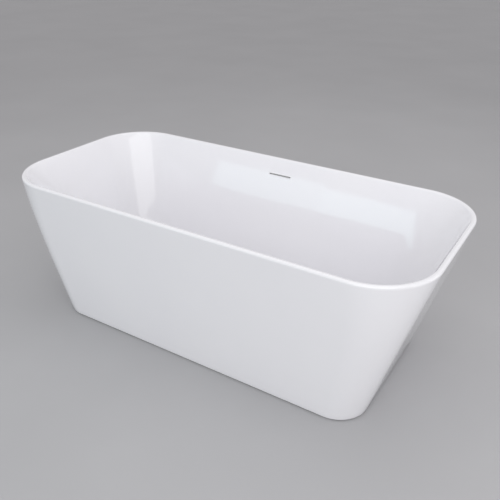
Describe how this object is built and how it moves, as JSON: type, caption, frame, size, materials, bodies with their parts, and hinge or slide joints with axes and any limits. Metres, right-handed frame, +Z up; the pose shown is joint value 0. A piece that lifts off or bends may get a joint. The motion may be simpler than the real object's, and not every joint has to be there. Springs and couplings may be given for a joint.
{
  "type": "freestanding bathtub",
  "caption": "Double-walled freestanding bathtub with sloping sides, rounded corners, slim rim, slot overflow, press-to-open waste and levelling feet.",
  "frame": {"origin": "centre of the footprint, on the floor that the feet stand on", "axes": "+X along the tub, +Y across it towards the wall with the overflow slot, +Z up"},
  "size_m": [1.7, 0.8, 0.6],
  "materials": {
    "acrylic": "glossy cast acrylic sheet, slightly cool white",
    "glass_fibre": "rough sprayed glass-fibre resin",
    "adhesive": "cured bonding paste",
    "board": "resin-sealed particle board",
    "frame_steel": "galvanised square tube",
    "zinc_steel": "zinc-plated steel",
    "chrome": "polished chrome",
    "rubber": "black rubber",
    "black_plastic": "moulded black polypropylene",
    "white_plastic": "satin moulded white plastic",
    "grey_plastic": "ribbed grey hose"
  },
  "bodies": {
    "tub": {"basin": "acrylic", "basin_backing": "glass_fibre", "skirt": "acrylic", "skirt_backing": "glass_fibre", "rim_bond": "adhesive", "floor_board": "board", "frame_rail_front": "frame_steel", "frame_rail_rear": "frame_steel", "frame_crossbar_left": "frame_steel", "frame_crossbar_right": "frame_steel", "frame_crossbar_mid_left": "frame_steel", "frame_crossbar_mid_right": "frame_steel", "tube_end_caps": "black_plastic", "frame_screws": "zinc_steel", "board_screws": "zinc_steel", "skirt_brackets": "zinc_steel", "bracket_screws": "zinc_steel", "overflow_trim": "white_plastic", "overflow_gasket": "rubber", "overflow_box": "white_plastic", "overflow_hose": "grey_plastic", "hose_clamp_upper": "chrome", "hose_clamp_lower": "chrome", "drain_flange": "chrome", "drain_washer": "rubber", "drain_gasket": "rubber", "waste_body": "black_plastic", "tailpiece_nut": "black_plastic", "tailpiece_washer": "rubber", "tailpiece": "black_plastic", "plug_cartridge": "black_plastic", "plug_spring": "zinc_steel"},
    "plug": {"plug_cap": "chrome", "plug_seal": "rubber", "plug_stem": "zinc_steel"},
    "foot_1": {"foot_pad_1": "black_plastic", "foot_stud_1": "zinc_steel"},
    "foot_2": {"foot_pad_2": "black_plastic", "foot_stud_2": "zinc_steel"},
    "foot_3": {"foot_pad_3": "black_plastic", "foot_stud_3": "zinc_steel"},
    "foot_4": {"foot_pad_4": "black_plastic", "foot_stud_4": "zinc_steel"},
    "nuts_1": {"foot_nuts_1": "zinc_steel"},
    "nuts_2": {"foot_nuts_2": "zinc_steel"},
    "nuts_3": {"foot_nuts_3": "zinc_steel"},
    "nuts_4": {"foot_nuts_4": "zinc_steel"}
  },
  "joints": [
    {"name": "plug_press", "type": "slide", "parent": "tub", "child": "plug", "axis": [0, 0, 1], "range_m": [-0.009, 0], "stiffness_N_per_m": 600, "springref_m": 0.006, "deforming": ["plug_spring"]},
    {"name": "foot_1_height", "type": "slide", "parent": "tub", "child": "foot_1", "axis": [0, 0, 1], "range_m": [-0.02, 0.003]},
    {"name": "foot_2_height", "type": "slide", "parent": "tub", "child": "foot_2", "axis": [0, 0, 1], "range_m": [-0.02, 0.003]},
    {"name": "foot_3_height", "type": "slide", "parent": "tub", "child": "foot_3", "axis": [0, 0, 1], "range_m": [-0.02, 0.003]},
    {"name": "foot_4_height", "type": "slide", "parent": "tub", "child": "foot_4", "axis": [0, 0, 1], "range_m": [-0.02, 0.003]},
    {"name": "nuts_1_turn", "type": "hinge", "parent": "tub", "child": "nuts_1", "pos_m": [-0.48, -0.225, 0.08], "axis": [0, 0, 1], "range_deg": [-620, 4120]},
    {"name": "nuts_2_turn", "type": "hinge", "parent": "tub", "child": "nuts_2", "pos_m": [-0.48, 0.225, 0.08], "axis": [0, 0, 1], "range_deg": [-620, 4120]},
    {"name": "nuts_3_turn", "type": "hinge", "parent": "tub", "child": "nuts_3", "pos_m": [0.48, -0.225, 0.08], "axis": [0, 0, 1], "range_deg": [-620, 4120]},
    {"name": "nuts_4_turn", "type": "hinge", "parent": "tub", "child": "nuts_4", "pos_m": [0.48, 0.225, 0.08], "axis": [0, 0, 1], "range_deg": [-620, 4120]}
  ],
  "couplings": [
    {"joint": "nuts_1_turn", "follows": "foot_1_height", "rad_per_m": -3590.4},
    {"joint": "nuts_2_turn", "follows": "foot_2_height", "rad_per_m": -3590.4},
    {"joint": "nuts_3_turn", "follows": "foot_3_height", "rad_per_m": -3590.4},
    {"joint": "nuts_4_turn", "follows": "foot_4_height", "rad_per_m": -3590.4}
  ]
}
